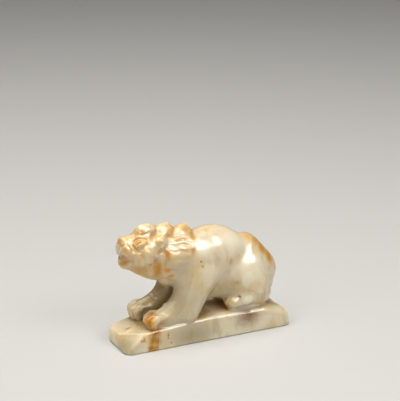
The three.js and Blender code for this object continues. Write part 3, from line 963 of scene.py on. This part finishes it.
RUSSET_PLACES = [
    # nose, mouth and chin
    [[-34.5, -1.5, 44.2], [1.8, 2.8, 1.6], 0.55],
    [[-34.2, 0.0, 43.6], [1.6, 3.0, 1.6], 0.6],
    [[-33.4, -3.2, 41.0], [1.4, 2.0, 1.6], 0.4],
    [[-34.6, -2.5, 38.2], [2.0, 2.8, 1.6], 0.6],
    [[-33.6, -2.5, 35.2], [2.2, 3.2, 1.6], 0.7],
    # brow, cheek and jaw
    [[-26.5, -3.0, 46.3], [4.5, 3.0, 1.2], 0.5],
    [[-23.0, -4.6, 45.0], [3.6, 2.4, 0.9], 0.45],
    [[-24.4, -7.2, 34.6], [1.3, 2.4, 1.2], 0.6],
    [[-28.6, -4.7, 32.8], [1.6, 2.5, 1.4], 0.45],
    [[-26.6, -4.0, 33.2], [4.8, 4.0, 2.8], 0.5],
    # hanging locks and throat
    [[-20.3, -7.0, 39.3], [1.3, 2.0, 1.3], 0.6],
    [[-22.1, -6.9, 35.6], [1.3, 2.5, 2.4], 0.6],
    [[-21.1, -6.6, 31.8], [2.2, 2.5, 3.8], 0.8],
    [[-17.2, -7.2, 38.4], [1.1, 2.5, 3.4], 0.7],
    [[-17.6, -7.6, 31.4], [2.0, 2.4, 1.2], 0.6],
    [[-16.3, -7.6, 29.0], [1.8, 2.4, 1.1], 0.65],
    # crest and collar
    [[-15.6, -3.6, 43.8], [6.0, 2.4, 1.0], 0.5],
    [[-9.5, -6.0, 42.1], [4.0, 2.4, 0.7], 0.5],
    [[-7.2, -3.0, 45.0], [3.0, 4.0, 1.2], 0.55],
    [[-5.2, -4.0, 42.8], [1.8, 4.0, 2.8], 0.62],
    [[-6.8, -7.8, 38.6], [1.3, 3.0, 3.0], 0.55],
    # pits and faint spots of the flank
    [[-4.2, -9.5, 33.5], [0.4, 1.5, 0.5], 1.0],
    [[-3.7, -9.8, 31.5], [0.5, 1.5, 0.6], 1.0],
    [[13.0, -8.8, 15.8], [0.6, 2.0, 0.6], 0.9],
    [[9.0, -9.5, 31.2], [1.8, 2.0, 2.2], 0.5],
    [[11.5, -9.0, 22.1], [2.0, 2.0, 1.2], 0.45],
    # paws
    [[-24.0, -5.5, 13.6], [2.2, 3.4, 1.5], 1.0],
    [[-24.8, -7.4, 12.0], [2.4, 3.0, 3.0], 1.1],
    [[-20.6, -9.2, 10.6], [2.4, 2.0, 0.9], 0.6],
    [[-30.4, 5.0, 11.6], [1.2, 3.0, 1.6], 0.5],
    # tail
    [[20.0, -1.0, 37.8], [4.0, 4.0, 2.6], 0.5],
    [[22.8, -2.0, 35.8], [3.6, 4.6, 3.0], 0.55],
    [[25.6, -3.0, 32.8], [3.2, 4.6, 3.6], 0.72],
    [[28.2, -4.0, 28.8], [2.8, 4.6, 4.0], 0.72],
    [[30.8, -2.0, 24.0], [2.2, 4.0, 3.8], 0.5],
    [[31.0, -2.0, 17.6], [1.6, 3.0, 1.0], 0.7]]


def patch(points, centre, radii, strength):
    """A soft patch, strongest at its centre."""
    away = (((points - np.array(centre)) / np.array(radii)) ** 2).sum(1)
    return strength * np.exp(-away)


def tinted(points, patches):
    tint = np.zeros(len(points))
    for centre, radii, strength in patches:
        tint = np.maximum(tint, patch(points, centre, radii, strength))
    return tint


keep_attribute(carving, "honey", tinted(points, HONEY_PLACES))
# painted shade on the legs and the underside
keep_attribute(carving, "shade_darkening", tinted(points, PAINTED_SHADE_PLACES))
keep_attribute(carving, "russet", tinted(points, RUSSET_PLACES))

# %% [markdown]
# A material is a net of nodes. The shader at its end turns colour, roughness and bump into light.
# Everything before it is arithmetic on patterns, so a few helpers make a node and join it in one
# call: a sum, a product, a soft step from one level to another, and a mix of two colours.

# %% Helpers for nodes
jade = bpy.data.materials.new("jade")
jade.use_nodes = True
nodes = jade.node_tree.nodes
links = jade.node_tree.links
shader = nodes["Principled BSDF"]


def math_node(operation, a, b, c=None):
    node = nodes.new("ShaderNodeMath")
    node.operation = operation
    for socket, value in zip(node.inputs, (a, b, c)):
        if value is None:
            continue
        if isinstance(value, (int, float)):
            socket.default_value = value
        else:
            links.new(value, socket)
    return node.outputs[0]


def times(a, b):
    return math_node("MULTIPLY", a, b)


def scaled(value, factor, start):
    """A pattern times a factor, starting from a level."""
    return math_node("MULTIPLY_ADD", value, factor, start)


def strongest(values):
    result = values[0]
    for value in values[1:]:
        result = math_node("MAXIMUM", result, value)
    return result


def between(value, low, high):
    """0 at low, 1 at high, smooth in between and level beyond."""
    node = nodes.new("ShaderNodeMapRange")
    node.interpolation_type = "SMOOTHSTEP"
    links.new(value, node.inputs["Value"])
    node.inputs["From Min"].default_value = min(low, high)
    node.inputs["From Max"].default_value = max(low, high)
    node.inputs["To Min"].default_value = 0 if low < high else 1
    node.inputs["To Max"].default_value = 1 if low < high else 0
    return node.outputs["Result"]


def mix(share, a, b):
    """Colour a where the share is 0 and colour b where it is 1."""
    node = nodes.new("ShaderNodeMix")
    node.data_type = "RGBA"
    links.new(share, node.inputs["Factor"])
    for name, value in (("A", a), ("B", b)):
        socket = [s for s in node.inputs if s.name == name and s.type == "RGBA"][0]
        if isinstance(value, tuple):
            socket.default_value = value
        else:
            links.new(value, socket)
    return [s for s in node.outputs if s.type == "RGBA"][0]


print("the new material", jade.name, "starts with", len(nodes), "nodes")

# %% [markdown]
# Three kinds of pattern are enough. Noise makes clouds and specks at a size that is given in
# millimetres. A spot marks one place of the stone, and it works on the large flat faces of the
# plinth too, where an attribute has few points to be kept in. An attribute brings back what the
# mesh knows about its hollows, edges and tints. All read the stone's own coordinates, so nothing
# slides when the stone or the camera moves.

# %% Patterns on the stone
stone_coordinates = nodes.new("ShaderNodeTexCoord").outputs["Object"]


def noise(scale_mm, detail, roughness=0.5, stretch=(1, 1, 1)):
    """Cloudy grey from 0 to 1, whose blotches are about scale_mm across."""
    texture = nodes.new("ShaderNodeTexNoise")
    texture.inputs["Scale"].default_value = 1 / (scale_mm * MM)
    texture.inputs["Detail"].default_value = detail
    texture.inputs["Roughness"].default_value = roughness
    mapping = nodes.new("ShaderNodeMapping")
    mapping.inputs["Scale"].default_value = stretch
    links.new(stone_coordinates, mapping.inputs["Vector"])
    links.new(mapping.outputs["Vector"], texture.inputs["Vector"])
    return texture.outputs["Fac"]


def spot(centre, radii):
    """1 at a place of the stone, given in mm, and 0 from one radius away."""
    mapping = nodes.new("ShaderNodeMapping")
    mapping.vector_type = "POINT"
    scale = [1 / (radius * MM) for radius in radii]
    mapping.inputs["Scale"].default_value = scale
    mapping.inputs["Location"].default_value = [-c * MM * k for c, k in zip(centre, scale)]
    length = nodes.new("ShaderNodeVectorMath")
    length.operation = "LENGTH"
    links.new(stone_coordinates, mapping.inputs["Vector"])
    links.new(mapping.outputs["Vector"], length.inputs[0])
    return between(length.outputs["Value"], 1, 0)


def spots(places):
    return strongest([spot(centre, radii) for centre, radii in places])


def attribute(name):
    node = nodes.new("ShaderNodeAttribute")
    node.attribute_name = name
    return node.outputs["Fac"]


STREAK = (1, 1, 0.35)
streaks = between(noise(1.6, 4, 0.6, STREAK), 0.38, 0.6)
print("the pattern for streaks brings the material to", len(nodes), "nodes")

# %% [markdown]
# The ground colour is cream, with whiter and greyer clouds a few millimetres across. Over it lie the
# tints in turn: honey, painted shade in the deep recesses, a painted highlight on proud edges, paler
# stone with painted highlights on a few places, painted shade with some tan on the jaw and the belly,
# painted shade on the legs and the underside with darker stone on the plinth, and one purple cloud in
# the side of the plinth. Each share says how much of a tint its strongest place gets.

# %% Cloudy ground
def colour(red, green, blue):
    """A colour from the eight-bit numbers that a colour picker shows."""
    linear = []
    for level in (red, green, blue):
        share = level / 255
        linear.append(share / 12.92 if level <= 10 else ((share + 0.055) / 1.055) ** 2.4)
    return (*linear, 1)


WHITE = colour(240, 230, 202)
CREAM = colour(236, 215, 165)
GREY = colour(219, 204, 165)
HONEY = colour(230, 179, 84)
# painted shade, brown
SHADE_BROWN = colour(172, 136, 80)
# painted highlight
HIGHLIGHT_WHITE = colour(252, 246, 228)
# painted shade, grey
SHADE_GREY = colour(164, 150, 114)
PURPLE = colour(146, 108, 80)
FLAT_CLOUD = (1, 1, 0.4)
MOST_HONEY = 0.9
RECESS_SHADE_SHARE = 0.65
EDGE_HIGHLIGHT_SHARE = 0.18
PALE_AND_HIGHLIGHT_SHARE = 0.8
SHADE_AND_TAN_SHARE = 0.34
SHADE_DARKENING_SHARE = 0.75
PALE_AND_HIGHLIGHT_SPOTS = [
    # centre, radii of paler stone with painted highlight: loin, shoulder, haunch, hind foot, plinth
    # beside it with painted light on its shade, ridge of the front facet with a painted highlight
    [[11, -7, 38], [11, 7, 7]],
    [[-2, -8, 37], [7, 5, 6]],
    [[17, -8, 26], [10, 6, 10]],
    [[15.5, -9.5, 14], [4.5, 3, 3.5]],
    [[16, -8, 10], [9, 4, 2]],
    [[-32.0, -1.8, 6.8], [4.0, 1.2, 1.2]]]
SHADE_AND_TAN_SPOTS = [
    # jaw, belly: painted shade under them, with tan on the jaw
    [[-27.6, -5, 32], [7, 6, 4.5]],
    [[1, -6.5, 17], [8, 6, 4.5]]]
DARKER_PLINTH_SPOTS = [
    # darker stone: side of the plinth, its front corner
    [[-8, -10, 4], [17, 6, 9]],
    [[-35, -6, 2], [8, 9, 7]]]

ground = mix(between(noise(8, 3), 0.3, 0.55), CREAM, WHITE)
ground = mix(between(noise(3.5, 4, 0.6, FLAT_CLOUD), 0.5, 0.72), ground, GREY)
mottle = between(noise(2.6, 5, 0.65), 0.4, 0.6)
warmth = times(attribute("honey"), scaled(mottle, 0.7, 0.35))
ground = mix(math_node("MINIMUM", warmth, MOST_HONEY), ground, HONEY)
# painted shade in the deep recesses
ground = mix(times(attribute("recess"), RECESS_SHADE_SHARE), ground, SHADE_BROWN)
# painted highlight on proud edges
ground = mix(times(attribute("proud"), EDGE_HIGHLIGHT_SHARE), ground, HIGHLIGHT_WHITE)
# paler stone with painted highlights and painted light
ground = mix(times(spots(PALE_AND_HIGHLIGHT_SPOTS), PALE_AND_HIGHLIGHT_SHARE), ground, HIGHLIGHT_WHITE)
# painted shade on the jaw and the belly
ground = mix(times(spots(SHADE_AND_TAN_SPOTS), SHADE_AND_TAN_SHARE), ground, SHADE_BROWN)
# painted shade on the legs and the underside, darker stone on the plinth
shade_darkening = strongest([attribute("shade_darkening"), spots(DARKER_PLINTH_SPOTS)])
ground = mix(times(shade_darkening, SHADE_DARKENING_SHARE), ground, SHADE_GREY)
purple_cloud = spot([16.4, -10, 7.6], [8.4, 4, 7.2])
ground = mix(times(purple_cloud, math_node("ADD", noise(2.4, 4), 0.4)), ground, PURPLE)
print(len(PALE_AND_HIGHLIGHT_SPOTS + SHADE_AND_TAN_SPOTS + DARKER_PLINTH_SPOTS), "spots are painted into the ground")

# %% [markdown]
# Stain comes in five ways, and the strongest one wins: the russet patches, a vein that runs from the
# near paw down the side of the plinth, single flecks, small blots in the warm stone, and a seep of
# stain and warm painted shade that fills the grooves. Weak stain is amber and only strong stain is
# russet. Noise breaks up all of it, because a stain with a smooth rim looks painted on.

# %% Vein, flecks and stain
AMBER = colour(206, 146, 28)
RUSSET = colour(138, 79, 10)
FLECK_STRENGTH = 0.85
BLOT_STRENGTH = 0.55
GROOVE_STAIN_AND_SHADE_STRENGTH = 0.65
VEIN_SPOTS = [
    # centre, radii
    [[-23.4, -10, 7.8], [4.8, 5, 5.0]],
    [[-24.0, -10, 4.4], [4.3, 5, 5.0]],
    [[-24.6, -10, 1.4], [4.1, 5, 3.6]]]
FLECK_SPOTS = [
    # three on the side of the plinth, two on its top, two at its front corner
    [[-14.0, -10, 6.3], [1.0, 3, 1.3]],
    [[-18.3, -10, 5.4], [0.8, 3, 3.0]],
    [[-17.0, -10, 2.6], [0.8, 3, 2.2]],
    [[-30.8, 0.4, 7.0], [3.4, 1.0, 1.4]],
    [[-26.6, -0.6, 8.2], [3.0, 1.3, 1.4]],
    [[-35.2, -4.6, 4.6], [1.6, 2.2, 2.2]],
    [[-28.8, -9.6, 5.2], [2.2, 3, 2.4]]]

patches = times(attribute("russet"), math_node("ADD", noise(2.0, 5, 0.6), 0.45))
vein = times(spots(VEIN_SPOTS), scaled(streaks, 0.5, 0.66))
flecks = times(spots(FLECK_SPOTS), times(between(noise(1.2, 4), 0.38, 0.6), FLECK_STRENGTH))
blots = times(between(noise(1.5, 6, 0.7), 0.48, 0.64), times(attribute("honey"), BLOT_STRENGTH))
# stain and warm painted shade in the grooves
groove_stain_and_shade = times(attribute("hollow"), scaled(attribute("honey"), 1.1, 0.12))
stain = strongest([patches, vein, flecks, blots, times(groove_stain_and_shade, GROOVE_STAIN_AND_SHADE_STRENGTH)])
ground = mix(between(stain, 0.08, 0.72), ground, AMBER)
ground = mix(between(stain, 0.65, 1.25), ground, RUSSET)
links.new(ground, shader.inputs["Base Color"])
print("with its stain the material has", len(nodes), "nodes")

# %% [markdown]
# Pale jade looks soft because light goes into it, scatters and comes out again some millimetres away.
# The principled shader does this with its subsurface settings, and red light travels furthest. The
# polish is waxy: a little rough, uneven from place to place, and finely pitted where the stone is
# warm and was left less smooth.

# %% Polish and glow
PIT_DEPTH = 0.2
LIGHT_TRAVEL = 1.8
JADE_IOR = 1.62

roughness = scaled(noise(1.2, 4), 0.16, 0.12)
links.new(roughness, shader.inputs["Roughness"])
pitting = nodes.new("ShaderNodeBump")
pitting.inputs["Distance"].default_value = PIT_DEPTH * MM
links.new(noise(1.0, 4, 0.6), pitting.inputs["Height"])
links.new(scaled(attribute("honey"), 0.7, 0.06), pitting.inputs["Strength"])
links.new(pitting.outputs["Normal"], shader.inputs["Normal"])
shader.inputs["IOR"].default_value = JADE_IOR
shader.inputs["Subsurface Weight"].default_value = 0.85
shader.inputs["Subsurface Radius"].default_value = (1.0, 0.72, 0.42)
shader.inputs["Subsurface Scale"].default_value = LIGHT_TRAVEL * MM
carving.data.materials.clear()
carving.data.materials.append(jade)

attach(carving, "root")
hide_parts("jade_lion")
print("the stone's material has", len(nodes), "nodes")

# %% [markdown]
# A plain pale floor catches the shadow and throws a little light back up into the stone.

# %% Floor
FLOOR_SIDE = 6.0
FLOOR_GREY = colour(202, 201, 198)

floor_mesh = bpy.data.meshes.new("floor")
bm = bmesh.new()
bmesh.ops.create_grid(bm, x_segments=1, y_segments=1, size=FLOOR_SIDE / 2)
bm.to_mesh(floor_mesh)
bm.free()
floor = bpy.data.objects.new("floor", floor_mesh)
bpy.context.collection.objects.link(floor)
paper = bpy.data.materials.new("floor_paper")
paper.use_nodes = True
paper.node_tree.nodes["Principled BSDF"].inputs["Base Color"].default_value = FLOOR_GREY
paper.node_tree.nodes["Principled BSDF"].inputs["Roughness"].default_value = 0.9
floor_mesh.materials.append(paper)
print("the floor is", FLOOR_SIDE, "m wide")

# %% [markdown]
# Soft boxes light the stone as a studio would: a key from the right and above, a broad box overhead
# for the back, and a weak fill from the left. Polish needs its own care, so two of the boxes are seen
# only in the shine of the stone: one in front for the bright patches, one behind that draws the edges
# of the plinth. The key itself is kept out of the shine. A dim sky keeps the shadows open.

# %% Lights
LIGHT_DISTANCE = 0.8
WARM_WHITE = (1, 0.98, 0.95)
SKY_STRENGTH = 0.06
SOFT_BOXES = [
    # name, direction, width and height in metres, power in watts, lights the stone, shows in its shine
    ("key", (0.35, -0.68, 0.64), 0.36, 0.30, 1.45, True, False),
    ("shine", (0.22, -0.66, 0.72), 0.50, 0.46, 9.0, False, True),
    ("overhead", (-0.1, -0.05, 0.99), 0.6, 0.4, 6.6, True, True),
    ("rim", (-0.20, 0.59, 0.78), 0.4, 0.3, 1.5, False, True),
    ("front", (-0.66, -0.22, 0.72), 0.4, 0.4, 1.2, True, True)]

for name, direction, width, height, power, lights_stone, shows in SOFT_BOXES:
    data = bpy.data.lights.new(name, "AREA")
    data.shape = "RECTANGLE"
    data.size = width
    data.size_y = height
    data.energy = power
    data.color = WARM_WHITE
    light = bpy.data.objects.new(name, data)
    light.location = Vector(direction).normalized() * LIGHT_DISTANCE
    light.rotation_euler = Vector(direction).to_track_quat("Z", "Y").to_euler()
    light.visible_diffuse = lights_stone
    light.visible_glossy = shows
    bpy.context.collection.objects.link(light)

world = bpy.data.worlds.new("studio")
world.use_nodes = True
world.node_tree.nodes["Background"].inputs["Color"].default_value = (1, 1, 1, 1)
world.node_tree.nodes["Background"].inputs["Strength"].default_value = SKY_STRENGTH
bpy.context.scene.world = world
bpy.context.scene.view_settings.view_transform = "Standard"
print("the lights:", [box[0] for box in SOFT_BOXES], "and a dim sky")
